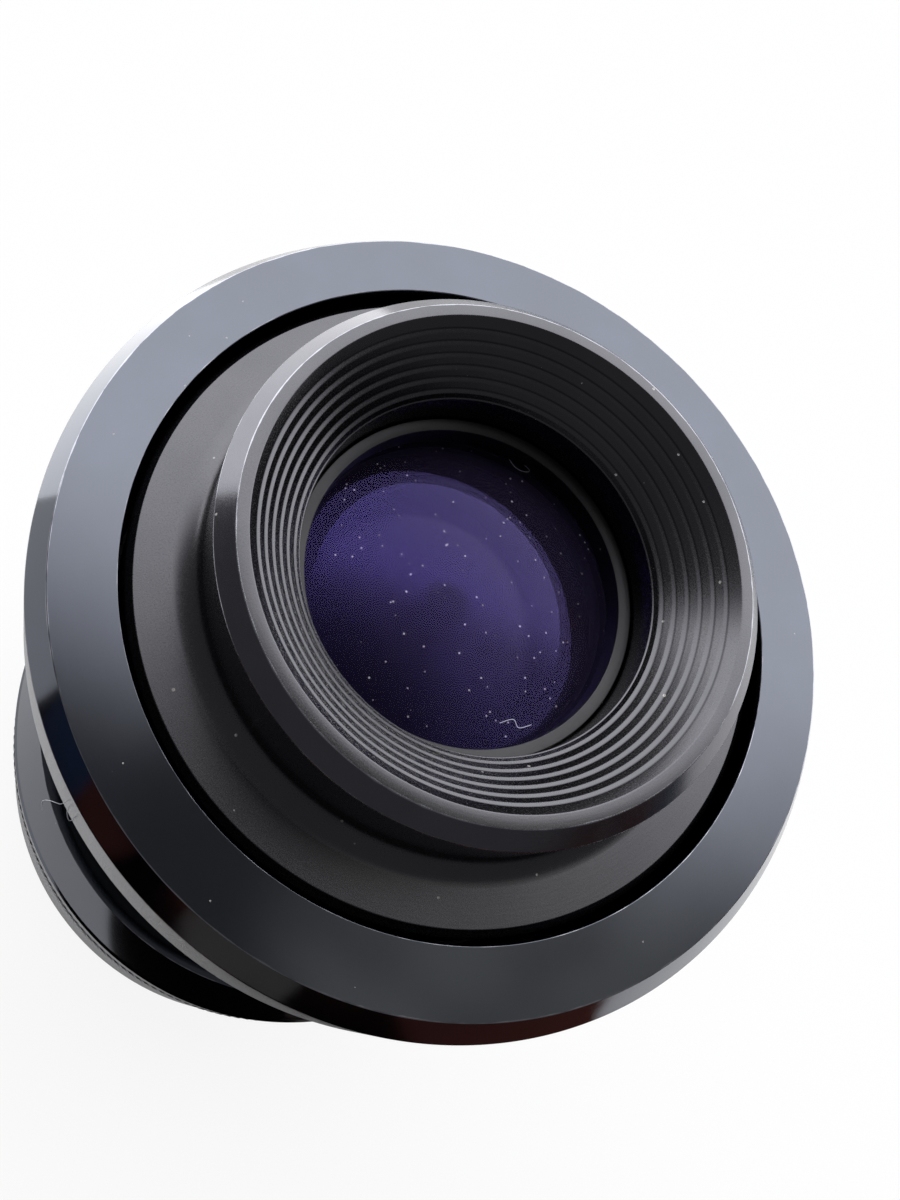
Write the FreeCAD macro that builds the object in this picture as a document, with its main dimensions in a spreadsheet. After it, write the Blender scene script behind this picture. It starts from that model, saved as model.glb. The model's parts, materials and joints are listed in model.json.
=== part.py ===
import FreeCAD, Part
import math
import os

import Sketcher

# Projection lens standing on the end face of its rear ring. The optical axis is Z, up towards the
# front, and the origin is the centre of that end face. Every turned piece is a revolved profile of
# radius and height. Rings and lenses seat face to face along the axis. Sizes are in millimetres.

doc = FreeCAD.newDocument("ProjectionLens")

SIZES = {
    # Bore of the front lens group, on which every radius is built up by a wall or a width
    "lens_bore_dia": 26.7,
    # Anti-glare ridges in the mouth: a steep riser, then a tread that falls towards the axis
    "ridge_run": 0.634,
    "ridge_fall": 0.679,
    "tread_run": 0.286,
    "tread_fall": 0.161,
    "first_riser_run": 0.587,
    "first_riser_fall": 0.807,
    "last_riser_run": 0.207,
    "last_riser_fall": 0.417,
    "bore_ledge_run": 0.11,
    "bore_ledge_fall": 0.06,
    # Hood and shoulder of the front barrel
    "overall_length": 85.92,
    "rim_width": 0.89,
    "rim_chamfer_height": 1.32,
    "hood_wall": 2.13,
    "hood_taper": 0.2,
    "hood_length": 7.24,
    "foot_undercut": 0.39,
    "cove_radius": 2.24,
    "shoulder_width": 3.18,
    "shoulder_chamfer": 0.55,
    "shoulder_length": 6.44,
    "front_cell_wall": 7.55,
    # Front lens group, from the front
    "ring_sink": 2.963,
    "front_ring_width": 1.05,
    "front_ring_length": 2.24,
    "front_ring_fall": 0.22,
    "front_lens_edge": 4.0,
    "front_lens_curve": 38.0,
    "front_lens_back_curve": 110.0,
    "front_spacer_length": 2.6,
    "second_lens_edge": 3.1,
    "second_lens_curve": 30.0,
    "third_lens_edge": 4.3,
    "third_lens_curve": 18.0,
    "third_lens_land": 3.55,
    "lens_seat_width": 3.15,
    "lens_seat_wall": 2.0,
    # Inner barrel and aperture stop
    "barrel_wall": 2.2,
    "barrel_land_length": 8.0,
    "rear_shoulder_height": 14.0,
    "barrel_relief": 1.0,
    "stop_pocket_wall": 4.0,
    "web_width": 4.0,
    "web_share": 0.378,
    "stop_rim_width": 4.8,
    "stop_thickness": 1.2,
    "stop_ring_width": 3.5,
    "stop_ring_length": 2.0,
    # Rear lens group and its cell, from the middle of the lens to the back
    "cell_flange_thickness": 4.0,
    "cell_length": 28.0,
    "rear_cell_wall": 8.2,
    "fourth_lens_edge": 4.0,
    "fourth_lens_curve": 20.0,
    "fourth_lens_land": 2.9,
    "fifth_lens_edge": 3.5,
    "fifth_lens_curve": 30.0,
    "rear_spacer_length": 4.3,
    "rear_lens_edge": 4.0,
    "rear_lens_front_curve": 60.0,
    "rear_lens_curve": 45.0,
    "rear_retaining_width": 0.9,
    "rear_retaining_length": 2.5,
    "cell_land_length": 3.0,
    "cell_mouth_wall": 3.9,
    # Sleeve, and the flange over it, which is 62.5 mm across
    "flange_gap": 0.475,
    "sleeve_wall": 1.855,
    "flange_wall": 4.25,
    "flange_length": 10.5,
    "flange_setback": 8.65,
    "flange_chamfer_width": 1.41,
    "flange_chamfer_height": 2.19,
    "flange_rear_round": 0.8,
    "flange_lip": 4.0,
    "lock_ring_length": 3.0,
    "lock_ring_width": 4.0,
    # Rear ring
    "rear_ring_wall": 5.13,
    "rear_ring_height": 29.27,
    "rear_chamfer_width": 2.32,
    "chamfer_foot_inset": 0.27,
    "chamfer_foot_height": 22.97,
    "chamfer_foot_break": 0.45,
    "lip_thickness": 5.0,
    "lip_width": 5.0,
    "end_chamfer": 0.4,
    # Straight knurl on the rear ring
    "knurl_rise": 0.12,
    "knurl_depth": 0.36,
    "knurl_width": 3.2,
    "knurl_top": 18.4,
    "knurl_teeth": 202,
    "knurl_crest_width": 0.08,
    # Set screws and spanner slots
    "screw_dia": 3.0,
    "screw_socket": 1.5,
    "socket_depth": 1.4,
    "screw_sink": 0.3,
    "rear_screw_height": 9.0,
    "sleeve_screw_drop": 5.0,
    "slot_width": 1.6,
    "slot_depth": 1.0,
    # Clearances, each measured on the radius
    "thread_clearance": 0.1,
    "barrel_clearance": 0.3,
    "glass_clearance": 0.1,
    "screw_clearance": 0.05,
}

# The sheet of driving dimensions: a name in column A and its number in column B
sheet = doc.addObject("Spreadsheet::Sheet", "Sizes")
for row, (name, number) in enumerate(SIZES.items(), 1):
    sheet.set(f"A{row}", name)
    sheet.set(f"B{row}", str(number))
    sheet.setAlias(f"B{row}", name)
doc.recompute()


class Length:
    """A size from the sheet, or one worked out from such sizes, with the formula that binds it."""

    def __init__(self, formula, value):
        self.formula = formula
        self.value = value

    def _joined(self, sign, other, work):
        if isinstance(other, Length):
            return Length(f"({self.formula} {sign} {other.formula})", work(self.value, other.value))
        return Length(f"({self.formula} {sign} {other})", work(self.value, other))

    def __add__(self, other):
        return self._joined("+", other, lambda a, b: a + b)

    def __sub__(self, other):
        return self._joined("-", other, lambda a, b: a - b)

    def __mul__(self, other):
        return self._joined("*", other, lambda a, b: a * b)

    def __truediv__(self, other):
        return self._joined("/", other, lambda a, b: a / b)


def size(name):
    return Length(f"Sizes.{name}", float(sheet.get(name)))


def sag(curve, reach):
    """Height of a spherical surface between its vertex and the given radius."""
    root = f"sqrt({curve.formula} ^ 2 - {reach.formula} ^ 2)"
    depth = curve.value - math.sqrt(curve.value ** 2 - reach.value ** 2)
    return Length(f"({curve.formula} - {root})", depth)


AXIS = Length("0", 0.0)
GROUND = Length("0", 0.0)


def plane(body, role):
    return next(part for part in body.Origin.OriginFeatures if part.Role == role)


def bound(sketch, kind, *place, length):
    """A constraint of the sketch, tied to the formula of a length."""
    index = sketch.addConstraint(Sketcher.Constraint(kind, *place, length.value))
    sketch.setExpression(f"Constraints[{index}]", length.formula)


def hold(sketch, edge, end, across, up):
    """Holds one end of an edge at its distance from the sketch's two axes."""
    if across is AXIS:
        sketch.addConstraint(Sketcher.Constraint("PointOnObject", edge, end, -2))
    else:
        bound(sketch, "DistanceX", -1, 1, edge, end, length=across)
    if up is GROUND:
        sketch.addConstraint(Sketcher.Constraint("PointOnObject", edge, end, -1))
    else:
        bound(sketch, "DistanceY", -1, 1, edge, end, length=up)


def arc(start, end, curve, side):
    """The short arc between two points; side is +1 where it bulges to the left of the way along."""
    chord = end - start
    left = FreeCAD.Vector(-chord.y, chord.x, 0).normalize()
    rise = curve - math.sqrt(curve ** 2 - (chord.Length / 2) ** 2)
    return Part.Arc(start, (start + end) / 2 + left * side * rise, end)


def outline(sketch, corners):
    """A closed outline of (radius, height) corners. Where the edge that leaves a corner is round,
    the corner is (radius, height, curve, side)."""
    points = [FreeCAD.Vector(corner[0].value, corner[1].value, 0) for corner in corners]
    ends = []
    for index, corner in enumerate(corners):
        start = points[index]
        end = points[(index + 1) % len(points)]
        if len(corner) == 2:
            edge = sketch.addGeometry(Part.LineSegment(start, end), False)
        else:
            edge = sketch.addGeometry(arc(start, end, corner[2].value, corner[3]), False)
        forward = sketch.Geometry[edge].StartPoint.distanceToPoint(start) < 0.001
        ends.append((1, 2) if forward else (2, 1))
    for index, corner in enumerate(corners):
        following = (index + 1) % len(corners)
        hold(sketch, index, ends[index][0], corner[0], corner[1])
        meet = (index, ends[index][1], following, ends[following][0])
        sketch.addConstraint(Sketcher.Constraint("Coincident", *meet))
        if len(corner) > 2:
            bound(sketch, "Radius", index, length=corner[2])


def sketched(body, name, role):
    sketch = body.newObject("Sketcher::SketchObject", name)
    sketch.AttachmentSupport = [(plane(body, role), "")]
    sketch.MapMode = "FlatFace"
    return sketch


def turned(name, corners):
    """A piece turned on a lathe: its outline of radius and height, revolved about the axis."""
    body = doc.addObject("PartDesign::Body", name)
    body.Label = name
    sketch = sketched(body, f"{name}_profile", "XZ_Plane")
    outline(sketch, corners)
    revolution = body.newObject("PartDesign::Revolution", f"{name}_turned")
    revolution.Profile = sketch
    revolution.ReferenceAxis = (sketch, ["V_Axis"])
    revolution.Angle = 360
    return body


def rectangle(sketch, left, right, low, high):
    outline(sketch, [(left, low), (right, low), (right, high), (left, high)])


def pocketed(body, name, sketch, depth, reversed_way):
    """A cut from a sketch, along its normal if reversed_way is set and else against it."""
    pocket = body.newObject("PartDesign::Pocket", name)
    pocket.Profile = sketch
    pocket.Reversed = reversed_way
    pocket.setExpression("Length", depth.formula)
    return pocket


def repeated(body, feature, count):
    """Repeats a cut evenly around the axis and makes the result the body's tip."""
    pattern = body.newObject("PartDesign::PolarPattern", f"{feature.Name}_around")
    pattern.Originals = [feature]
    pattern.Axis = (plane(body, "Z_Axis"), [""])
    pattern.Angle = 360
    pattern.Occurrences = count
    body.Tip = pattern
    return pattern


def slotted(body, inner, outer, face, upward):
    """Cuts two spanner slots across the end face of a ring, into the ring from that face."""
    sketch = sketched(body, f"{body.Name}_slot_profile", "XY_Plane")
    sketch.setExpression(".AttachmentOffset.Base.z", face.formula)
    half = size("slot_width") / 2
    reach = size("slot_width")
    rectangle(sketch, inner - reach, outer + reach, half * -1, half)
    doc.recompute()
    slot = pocketed(body, f"{body.Name}_slot", sketch, size("slot_depth"), upward)
    repeated(body, slot, SLOT_COUNT)


def screw_holes(body, height, reach):
    """Three radial holes for set screws, the first towards +Y."""
    sketch = sketched(body, f"{body.Name}_hole_profile", "XZ_Plane")
    hole_radius = size("screw_dia") / 2 + size("screw_clearance")
    centre = FreeCAD.Vector(0, height.value, 0)
    circle = sketch.addGeometry(Part.Circle(centre, FreeCAD.Vector(0, 0, 1), hole_radius.value), False)
    hold(sketch, circle, 3, AXIS, height)
    bound(sketch, "Radius", circle, length=hole_radius)
    doc.recompute()
    hole = pocketed(body, f"{body.Name}_hole", sketch, reach, False)
    repeated(body, hole, SCREW_COUNT)


def set_screws(name, tip, head, height):
    """Headless screws with a hexagon socket, one in each of the radial holes."""
    screws = []
    for index in range(SCREW_COUNT):
        shank = doc.addObject("Part::Cylinder", f"{name}_shank_{index}")
        shank.setExpression("Radius", "Sizes.screw_dia / 2")
        shank.setExpression("Height", (head - tip).formula)
        socket = doc.addObject("Part::Prism", f"{name}_socket_{index}")
        socket.Polygon = 6
        socket.setExpression("Circumradius", "Sizes.screw_socket / sqrt(3)")
        socket.setExpression("Height", "Sizes.socket_depth")
        socket.setExpression(".Placement.Base.z", (head - tip - size("socket_depth")).formula)
        screw = doc.addObject("Part::Cut", f"{name}_{index}")
        screw.Base = shank
        screw.Tool = socket
        turn = 90 + 360 * index / SCREW_COUNT
        outward = FreeCAD.Rotation(FreeCAD.Vector(0, 1, 0), 90)
        around = FreeCAD.Rotation(FreeCAD.Vector(0, 0, 1), turn)
        screw.Placement.Rotation = around.multiply(outward)
        cosine = round(math.cos(math.radians(turn)), 6)
        sine = round(math.sin(math.radians(turn)), 6)
        screw.setExpression(".Placement.Base.x", (tip * cosine).formula)
        screw.setExpression(".Placement.Base.y", (tip * sine).formula)
        screw.setExpression(".Placement.Base.z", height.formula)
        screws.append(screw)
    group = doc.addObject("Part::Compound", name)
    group.Label = name
    group.Links = screws
    return group


def ball(name, face, seat, way):
    """The sphere of one face of a lens. Where it is convex only its cap above the seat is made."""
    curve, reach, side = face
    sphere = doc.addObject("Part::Sphere", name)
    sphere.setExpression("Radius", curve.formula)
    middle = seat + (sag(curve, reach) - curve) * (side * way)
    sphere.setExpression(".Placement.Base.z", middle.formula)
    if side == CONVEX:
        latitude = f"acos({reach.formula} / {curve.formula})"
        if way > 0:
            sphere.setExpression("Angle1", latitude)
        else:
            sphere.setExpression("Angle2", f"-{latitude}")
    return sphere


def lens(name, top, edge, rim, front, back):
    """A lens with a flat ground seat around each curved face. A face is (curve, reach, side), with
    the side convex or concave, or None where it is flat."""
    bottom = top - edge
    glass = doc.addObject("Part::Cylinder", f"{name}_blank")
    glass.setExpression("Radius", rim.formula)
    glass.setExpression("Height", edge.formula)
    glass.setExpression(".Placement.Base.z", bottom.formula)
    for end, face, seat, way in (("front", front, top, 1), ("back", back, bottom, -1)):
        if face:
            work = "Part::Fuse" if face[2] == CONVEX else "Part::Cut"
            ground = doc.addObject(work, f"{name}_{end}")
            ground.Base = glass
            ground.Tool = ball(f"{name}_{end}_ball", face, seat, way)
            glass = ground
    glass.Label = name
    return glass


def ring(name, inner, outer, bottom, top):
    return turned(name, [(inner, bottom), (outer, bottom), (outer, top), (inner, top)])


CONVEX = 1
CONCAVE = -1
RIDGE_COUNT = 6
SCREW_COUNT = 3
SLOT_COUNT = 2
thread_clearance = size("thread_clearance")
glass_clearance = size("glass_clearance")

# Heights of the front barrel, from the rim down
top = size("overall_length")
hood_foot = top - size("hood_length")
shoulder = hood_foot - size("cove_radius")
barrel_top = shoulder - size("shoulder_length")
first_ridge = top - size("first_riser_fall")
last_crest = first_ridge - size("ridge_fall") * (RIDGE_COUNT - 1) - size("tread_fall")
bore_ledge = last_crest - size("last_riser_fall")
bore_top = bore_ledge - size("bore_ledge_fall")

# Seats of the front lens group, each on the one before
front_ring_face = bore_top - size("ring_sink")
front_lens_top = front_ring_face - size("front_ring_length")
front_spacer_top = front_lens_top - size("front_lens_edge")
second_lens_top = front_spacer_top - size("front_spacer_length")
third_lens_top = second_lens_top - size("second_lens_edge")
front_seat = third_lens_top - size("third_lens_edge")
front_barrel_end = front_seat - size("lens_seat_wall")

# Seats of the inner barrel, the aperture stop and the rear lens group
ledge = barrel_top - size("barrel_land_length")
barrel_end = size("rear_shoulder_height")
cell_top = barrel_end + size("cell_length")
web_bottom = cell_top + size("barrel_relief")
pocket_top = front_barrel_end - size("barrel_relief")
web_top = web_bottom + (pocket_top - web_bottom) * size("web_share")
stop_top = web_top + size("stop_thickness")
rear_seat = cell_top - size("lens_seat_wall")
fifth_lens_top = rear_seat - size("fourth_lens_edge")
rear_spacer_top = fifth_lens_top - size("fifth_lens_edge")
rear_lens_top = rear_spacer_top - size("rear_spacer_length")
rear_ring_top = rear_lens_top - size("rear_lens_edge")
rear_ring_face = rear_ring_top - size("rear_retaining_length")
cell_bottom = barrel_end - size("cell_flange_thickness")

# Heights on the sleeve
flange_face = top - size("flange_setback")
sleeve_top = flange_face - size("flange_lip")
sleeve_foot = size("lip_thickness")
sleeve_screw_height = ledge - size("sleeve_screw_drop")

# Radii of the front barrel, from the lens bore out
lens_bore = size("lens_bore_dia") / 2
front_rim = lens_bore - glass_clearance
front_reach = lens_bore - size("front_ring_width")
seat_bore = lens_bore - size("lens_seat_width")
crest_bore = lens_bore + size("bore_ledge_run") + size("last_riser_run")
ridge_bore = crest_bore + size("tread_run") + size("ridge_run") * (RIDGE_COUNT - 1)
mouth = ridge_bore + size("first_riser_run")
hood = mouth + size("hood_wall")
hood_back = hood - size("hood_taper")
cove_top = hood_back - size("foot_undercut")
cove_foot = cove_top + size("cove_radius")
shoulder_outside = cove_foot + size("shoulder_width")
spigot = lens_bore + size("front_cell_wall")

# Radii of the inner barrel and what it holds
spigot_bore = spigot + thread_clearance
barrel_neck = spigot_bore + size("barrel_wall")
stop_pocket = spigot_bore - size("stop_pocket_wall")
web_bore = stop_pocket - size("web_width")
rear_bore = spigot - size("rear_cell_wall")
rear_rim = rear_bore - glass_clearance
rear_reach = rear_bore - size("rear_retaining_width")

# Radii of the sleeve, the flange and the rear ring
ledge_bore = barrel_neck + size("barrel_clearance")
flange_bore = shoulder_outside + size("flange_gap")
sleeve_outside = flange_bore + size("sleeve_wall")
ring_over_sleeve = sleeve_outside + thread_clearance
flange_outside = sleeve_outside + size("flange_wall")
rear_outside = sleeve_outside + size("rear_ring_wall")
knurl_crest = rear_outside + size("knurl_rise")


def front_barrel():
    """Hood with the anti-glare ridges, cove and shoulder, and the cell of the front lenses."""
    break_size = size("shoulder_chamfer")
    corners = [
        (mouth + size("rim_width"), top),
        (hood, top - size("rim_chamfer_height")),
        (hood_back, hood_foot),
        (cove_top, hood_foot, size("cove_radius"), CONCAVE),
        (cove_foot, shoulder),
        (shoulder_outside - break_size, shoulder),
        (shoulder_outside, shoulder - break_size),
        (shoulder_outside, barrel_top),
        (spigot, barrel_top),
        (spigot, front_barrel_end),
        (seat_bore, front_barrel_end),
        (seat_bore, front_seat),
        (lens_bore, front_seat),
        (lens_bore, bore_top),
        (lens_bore + size("bore_ledge_run"), bore_ledge),
    ]
    for ridge in reversed(range(RIDGE_COUNT)):
        foot = ridge_bore - size("ridge_run") * ridge
        height = first_ridge - size("ridge_fall") * ridge
        corners.append((foot - size("tread_run"), height - size("tread_fall")))
        corners.append((foot, height))
    corners.append((mouth, top))
    return turned("front_barrel", corners)


def front_retaining_ring():
    outside = lens_bore - thread_clearance
    return turned("front_retaining_ring", [
        (front_reach, front_lens_top),
        (outside, front_lens_top),
        (outside, front_ring_face),
        (front_reach, front_ring_face - size("front_ring_fall")),
    ])


def front_lenses():
    """The front lens, its spacer and the cemented pair behind it, which meets on a flat."""
    third_reach = front_rim - size("third_lens_land")
    return [
        lens("front_lens", front_lens_top, size("front_lens_edge"), front_rim,
             (size("front_lens_curve"), front_reach, CONVEX),
             (size("front_lens_back_curve"), front_reach, CONCAVE)),
        ring("front_spacer", front_reach, front_rim, second_lens_top, front_spacer_top),
        lens("second_lens", second_lens_top, size("second_lens_edge"), front_rim,
             (size("second_lens_curve"), front_reach, CONVEX), None),
        lens("third_lens", third_lens_top, size("third_lens_edge"), front_rim,
             None, (size("third_lens_curve"), third_reach, CONCAVE)),
    ]


def main_barrel():
    """Inner tube: front barrel screwed into its top, aperture stop in its middle, rear cell below."""
    return turned("main_barrel", [
        (shoulder_outside, barrel_top),
        (shoulder_outside, ledge),
        (barrel_neck, ledge),
        (barrel_neck, barrel_end),
        (spigot_bore, barrel_end),
        (spigot_bore, web_bottom),
        (web_bore, web_bottom),
        (web_bore, web_top),
        (stop_pocket, web_top),
        (stop_pocket, pocket_top),
        (spigot_bore, pocket_top),
        (spigot_bore, barrel_top),
    ])


def aperture_stop():
    """The thin stop disc on the barrel's web, and the threaded ring that holds it there."""
    outside = stop_pocket - thread_clearance
    inside = stop_pocket - size("stop_ring_width")
    stop = ring("stop_ring", web_bore - size("stop_rim_width"), outside, web_top, stop_top)
    holder_top = stop_top + size("stop_ring_length")
    holder = ring("stop_retaining_ring", inside, outside, stop_top, holder_top)
    slotted(holder, inside, outside, holder_top, False)
    return [stop, holder]


def rear_cell():
    """Screwed into the inner barrel from behind; its mouth opens as a cone."""
    land_foot = rear_ring_face - size("cell_land_length")
    return turned("rear_cell", [
        (seat_bore, cell_top),
        (spigot, cell_top),
        (spigot, barrel_end),
        (barrel_neck, barrel_end),
        (barrel_neck, cell_bottom),
        (spigot - size("cell_mouth_wall"), cell_bottom),
        (rear_bore, land_foot),
        (rear_bore, rear_seat),
        (seat_bore, rear_seat),
    ])


def rear_lenses():
    """The cemented pair, its spacer and the rear lens, with the ring that retains them."""
    fourth_reach = rear_rim - size("fourth_lens_land")
    outside = rear_bore - thread_clearance
    retaining = ring("rear_retaining_ring", rear_reach, outside, rear_ring_face, rear_ring_top)
    slotted(retaining, rear_reach, outside, rear_ring_face, True)
    return [
        lens("fourth_lens", rear_seat, size("fourth_lens_edge"), rear_rim,
             (size("fourth_lens_curve"), fourth_reach, CONCAVE), None),
        lens("fifth_lens", fifth_lens_top, size("fifth_lens_edge"), rear_rim,
             None, (size("fifth_lens_curve"), rear_reach, CONVEX)),
        ring("rear_spacer", rear_reach, rear_rim, rear_lens_top, rear_spacer_top),
        lens("rear_lens", rear_lens_top, size("rear_lens_edge"), rear_rim,
             (size("rear_lens_front_curve"), rear_reach, CONVEX),
             (size("rear_lens_curve"), rear_reach, CONVEX)),
        retaining,
    ]


def barrel_lock_ring():
    """Threaded ring that holds the rear cell and inner barrel up in the sleeve."""
    inside = ledge_bore - size("lock_ring_width")
    outside = ledge_bore - thread_clearance
    face = cell_bottom - size("lock_ring_length")
    body = ring("barrel_lock_ring", inside, outside, face, cell_bottom)
    slotted(body, inside, outside, face, True)
    return body


def mount_sleeve():
    """Tube that carries the flange, the inner barrel on its ledge, and the rear ring."""
    body = turned("mount_sleeve", [
        (flange_bore, sleeve_top),
        (sleeve_outside, sleeve_top),
        (sleeve_outside, sleeve_foot),
        (ledge_bore, sleeve_foot),
        (ledge_bore, ledge),
        (flange_bore, ledge),
    ])
    screw_holes(body, sleeve_screw_height, sleeve_outside + size("screw_dia"))
    return body


def flange_ring():
    """Wide polished ring screwed over the top of the sleeve."""
    back = flange_face - size("flange_length")
    corner = size("flange_rear_round")
    return turned("flange_ring", [
        (flange_bore, flange_face),
        (flange_outside - size("flange_chamfer_width"), flange_face),
        (flange_outside, flange_face - size("flange_chamfer_height")),
        (flange_outside, back + corner, corner, CONCAVE),
        (flange_outside - corner, back),
        (ring_over_sleeve, back),
        (ring_over_sleeve, sleeve_top),
        (flange_bore, sleeve_top),
    ])


def rear_ring():
    """The ring that the lens stands on: long steep chamfer, narrow knurl, lip under the sleeve."""
    knurl_top = size("knurl_top")
    knurl_foot = knurl_top - size("knurl_width")
    edge = size("end_chamfer")
    lip_bore = sleeve_outside - size("lip_width")
    chamfer_foot = rear_outside - size("chamfer_foot_inset")
    body = turned("rear_ring", [
        (ring_over_sleeve, size("rear_ring_height")),
        (chamfer_foot - size("rear_chamfer_width"), size("rear_ring_height")),
        (chamfer_foot, size("chamfer_foot_height")),
        (rear_outside, size("chamfer_foot_height") - size("chamfer_foot_break")),
        (rear_outside, knurl_top),
        (knurl_crest, knurl_top),
        (knurl_crest, knurl_foot),
        (rear_outside, knurl_foot),
        (rear_outside, edge),
        (rear_outside - edge, GROUND),
        (lip_bore + edge, GROUND),
        (lip_bore, edge),
        (lip_bore, sleeve_foot),
        (ring_over_sleeve, sleeve_foot),
    ])
    screw_holes(body, size("rear_screw_height"), rear_outside + size("screw_dia"))
    knurl(body, knurl_top)
    return body


def knurl(body, start):
    """Straight knurl: one axial vee groove through the raised band, repeated all round."""
    teeth = size("knurl_teeth")
    half = (knurl_crest * 2 * round(math.pi, 6) / teeth - size("knurl_crest_width")) / 2
    sketch = sketched(body, "knurl_profile", "XY_Plane")
    sketch.setExpression(".AttachmentOffset.Base.z", start.formula)
    outer = knurl_crest + size("knurl_crest_width")
    outline(sketch, [
        (knurl_crest - size("knurl_depth"), GROUND),
        (outer, half * -1),
        (outer, half),
    ])
    doc.recompute()
    groove = pocketed(body, "knurl_groove", sketch, size("knurl_width"), False)
    repeated(body, groove, int(teeth.value))


def rear_ring_screws():
    tip = sleeve_outside + size("screw_clearance")
    head = rear_outside - size("screw_sink")
    return set_screws("rear_ring_screws", tip, head, size("rear_screw_height"))


def sleeve_screws():
    tip = barrel_neck + size("screw_clearance")
    head = sleeve_outside - size("screw_sink")
    return set_screws("sleeve_screws", tip, head, sleeve_screw_height)


pieces = [
    front_barrel(),
    front_retaining_ring(),
    *front_lenses(),
    main_barrel(),
    *aperture_stop(),
    rear_cell(),
    *rear_lenses(),
    barrel_lock_ring(),
    mount_sleeve(),
    flange_ring(),
    rear_ring(),
    rear_ring_screws(),
    sleeve_screws(),
]
doc.recompute()

for item in doc.Objects:
    if "Invalid" in item.State or "Error" in item.State:
        raise RuntimeError(f"{item.Name} could not be worked out: {item.State}")
for piece in pieces:
    if piece.Shape.isNull() or not piece.Shape.isValid():
        raise RuntimeError(f"{piece.Label} has no valid shape")

os.makedirs("parts", exist_ok=True)
for piece in pieces:
    piece.Shape.exportStep(f"parts/{piece.Label}.step")
    print(piece.Label, len(piece.Shape.Solids), round(piece.Shape.Volume, 1))
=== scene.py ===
import json
import math

import bmesh
import bpy
from mathutils import Matrix, Vector


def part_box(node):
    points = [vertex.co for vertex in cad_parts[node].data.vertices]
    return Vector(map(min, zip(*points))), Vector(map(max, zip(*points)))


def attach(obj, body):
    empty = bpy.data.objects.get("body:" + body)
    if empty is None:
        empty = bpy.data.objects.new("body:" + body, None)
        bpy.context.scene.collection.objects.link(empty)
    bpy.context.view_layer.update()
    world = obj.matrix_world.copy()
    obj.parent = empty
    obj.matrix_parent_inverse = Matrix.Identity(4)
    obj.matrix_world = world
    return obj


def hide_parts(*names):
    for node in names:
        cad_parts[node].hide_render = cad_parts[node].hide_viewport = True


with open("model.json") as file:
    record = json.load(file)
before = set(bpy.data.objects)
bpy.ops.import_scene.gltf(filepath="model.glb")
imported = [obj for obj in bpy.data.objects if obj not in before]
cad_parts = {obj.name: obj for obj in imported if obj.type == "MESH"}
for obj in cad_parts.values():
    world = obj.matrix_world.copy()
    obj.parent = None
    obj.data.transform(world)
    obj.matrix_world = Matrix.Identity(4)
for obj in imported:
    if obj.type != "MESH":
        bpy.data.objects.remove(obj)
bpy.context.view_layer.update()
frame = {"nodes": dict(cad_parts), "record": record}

# A projection lens in black anodised aluminium, standing on its rear ring with the hood up.
# Each turned piece is spun from an outline of (radius, height) in millimetres about the optical
# axis, with the small edge breaks that the tool and wear leave, and takes the place of its node.

MM = 0.001


def low(node):
    """Height of a node's underside, in millimetres."""
    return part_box(node)[0][2] / MM


def high(node):
    """Height of a node's top, in millimetres."""
    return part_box(node)[1][2] / MM


def outer(node):
    """Outside radius of a node, in millimetres."""
    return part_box(node)[1][0] / MM


# Sizes in millimetres

LENS_TOP = high("front_barrel")
HOOD_RADIUS = 19.84
HOOD_TAPER = 0.2
RIM_WIDTH = 0.89
RIM_CHAMFER = 1.32
HOOD_LENGTH = 7.24
FOOT_UNDERCUT = 0.39
COVE_RADIUS = 2.24
SHOULDER_RADIUS = outer("front_barrel")
SHOULDER_CHAMFER = 0.55
SPIGOT_RADIUS = 20.9
BARREL_STEP = high("main_barrel")
MOUTH_RADIUS = 17.71
RIDGE_COUNT = 6
RIDGE_RUN = 0.634
RIDGE_FALL = 0.679
TREAD_RUN = 0.286
TREAD_FALL = 0.161
FIRST_RISER_RUN = 0.587
FIRST_RISER_FALL = 0.807
LAST_RISER_FALL = 0.417
BORE_LEDGE_RUN = 0.11
BORE_LEDGE_FALL = 0.06
LENS_BORE = 13.35
SEAT_BORE = 10.2
SEAT_WALL = 2.0

GLASS_OPENING = 12.3
RING_FALL = 0.22
THREAD_GAP = 0.1

FLANGE_RADIUS = outer("flange_ring")
FLANGE_BORE = 25.145
FLANGE_FACE = high("flange_ring")
FLANGE_FACE_RADIUS = 29.84
FLANGE_CHAMFER = 2.19
FLANGE_LIP = 4.0
FLANGE_REAR_ROUND = 0.8

SLEEVE_RADIUS = outer("mount_sleeve")
SLEEVE_BORE = 23.5
LEDGE_HEIGHT = 62.0

REAR_RADIUS = 32.13
REAR_TOP = high("rear_ring")
SHELF_RADIUS = 29.54
CHAMFER_FOOT_RADIUS = 31.86
CHAMFER_FOOT = 22.97
CHAMFER_BREAK = 0.45
KNURL_RADIUS = outer("rear_ring")
KNURL_DEPTH = 0.36
KNURL_TOP = 18.4
KNURL_WIDTH = 3.2
KNURL_TEETH = 202
KNURL_RUN_OUT = 0.4
KNURL_VEE_SHARE = 0.94
LIP_THICKNESS = 5.0
LIP_BORE = 22.0
END_CHAMFER = 0.4

SCREW_COUNT = 3
SCREW_HOLE_RADIUS = 1.55
FIRST_SCREW_TURN = 90
REAR_SCREW_HEIGHT = 9.0
SLEEVE_SCREW_HEIGHT = 57.0

LENS_BEVEL = 0.15
FRONT_CURVE = 38.0
FRONT_BACK_CURVE = 110.0
SECOND_CURVE = 30.0
THIRD_CURVE = 18.0
FOURTH_CURVE = 20.0
FIFTH_CURVE = 30.0
REAR_FRONT_CURVE = 60.0
REAR_CURVE = 45.0
STOP_SIDE_OPENING = 9.7
REAR_OPENING = 11.8

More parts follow.
